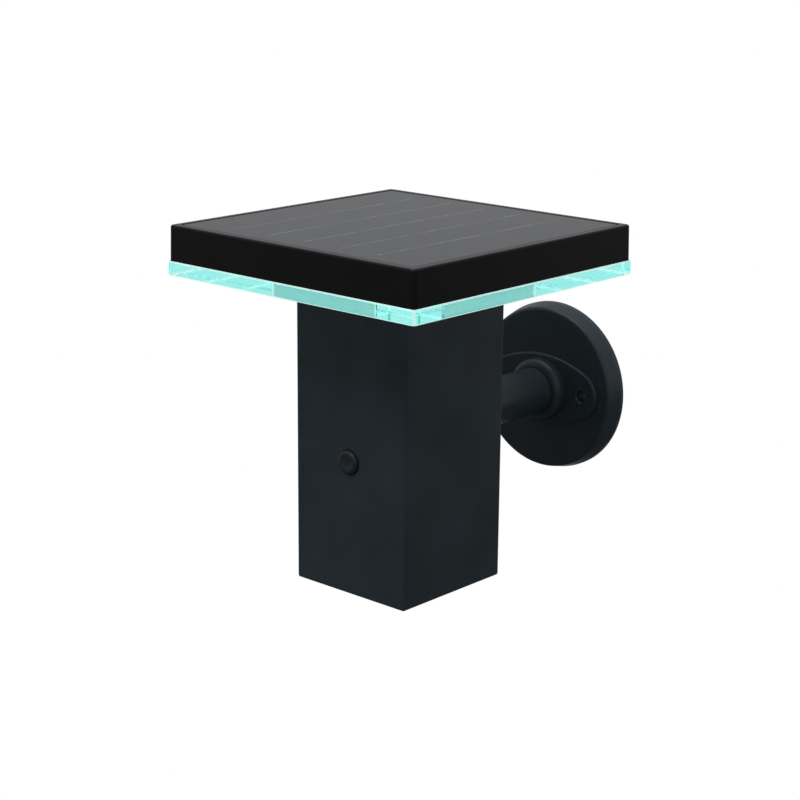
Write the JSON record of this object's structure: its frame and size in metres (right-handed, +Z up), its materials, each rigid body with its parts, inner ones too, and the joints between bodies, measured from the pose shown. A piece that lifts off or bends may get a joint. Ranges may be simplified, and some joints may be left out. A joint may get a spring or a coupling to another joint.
{
  "type": "fence light",
  "caption": "Solar wall light for a fence or post: square post on a round wall bracket, edge-lit glass plate, flat solar head and a push button.",
  "frame": {"origin": "centre of the wall plate's back face, on the wall plane", "axes": "+Y points into the wall (the lamp hangs on the -Y side, its push button faces -Y), +Z up, +X to the right of someone facing the wall"},
  "size_m": [0.1328, 0.1715, 0.1497],
  "materials": {
    "black_shell": "matt moulded black",
    "cell_sheet": "satin laminated solar cells with fine silver lines",
    "charcoal_coat": "satin charcoal powder coat on cast aluminium",
    "clear_glass": "clear green-tinted float glass with polished edges",
    "opal": "milky light spreader",
    "white_foam": "white closed-cell foam",
    "white_moulding": "white moulded plastic",
    "black_rubber": "soft black rubber",
    "clear_silicone": "cured silicone adhesive",
    "strip_white": "white solder resist",
    "lamp_yellow": "phosphor-filled lamp chip",
    "board_green": "green solder resist",
    "chip_black": "moulded component cases",
    "socket_cream": "natural nylon",
    "zinc_steel": "bright zinc plate",
    "nickel": "nickel plate",
    "cell_wrap": "plain shrink sleeve",
    "black_moulding": "black moulded plastic",
    "lead_sleeve": "soft insulated wire"
  },
  "bodies": {
    "lamp": {"post_housing": "charcoal_coat", "post_gasket": "black_rubber", "glass_plate": "clear_glass", "opal_ring": "opal", "led_carrier": "white_moulding", "led_strips": "strip_white", "led_chips": "lamp_yellow", "head_frame": "black_shell", "panel_bead": "clear_silicone", "solar_panel": "cell_sheet", "glass_pad": "white_foam", "head_screws": "zinc_steel", "main_board": "board_green", "board_chips": "chip_black", "board_sockets": "socket_cream", "board_screws": "zinc_steel", "battery_cradle": "black_moulding", "battery_cell": "cell_wrap", "cell_contacts": "nickel", "cell_spring": "nickel", "cradle_screws": "zinc_steel", "button_seal": "black_rubber", "button_guide": "black_moulding", "button_spring": "clear_silicone", "push_switch": "chip_black", "switch_board": "board_green", "guide_screws": "zinc_steel", "battery_leads": "lead_sleeve", "switch_leads": "lead_sleeve", "led_leads": "lead_sleeve", "panel_leads": "lead_sleeve", "backing_plate": "zinc_steel", "stem_washer": "zinc_steel", "stem_bolt": "zinc_steel", "wall_plate": "charcoal_coat", "plate_screw": "zinc_steel", "bracket_stem": "charcoal_coat", "stem_seal": "black_rubber"},
    "button": {"button_cap": "black_rubber"}
  },
  "joints": [
    {"name": "button_press", "type": "slide", "parent": "lamp", "child": "button", "axis": [0, 1, 0], "range_m": [0, 0.001], "stiffness_N_per_m": 1200, "springref_m": -0.001, "deforming": ["button_spring"]}
  ]
}
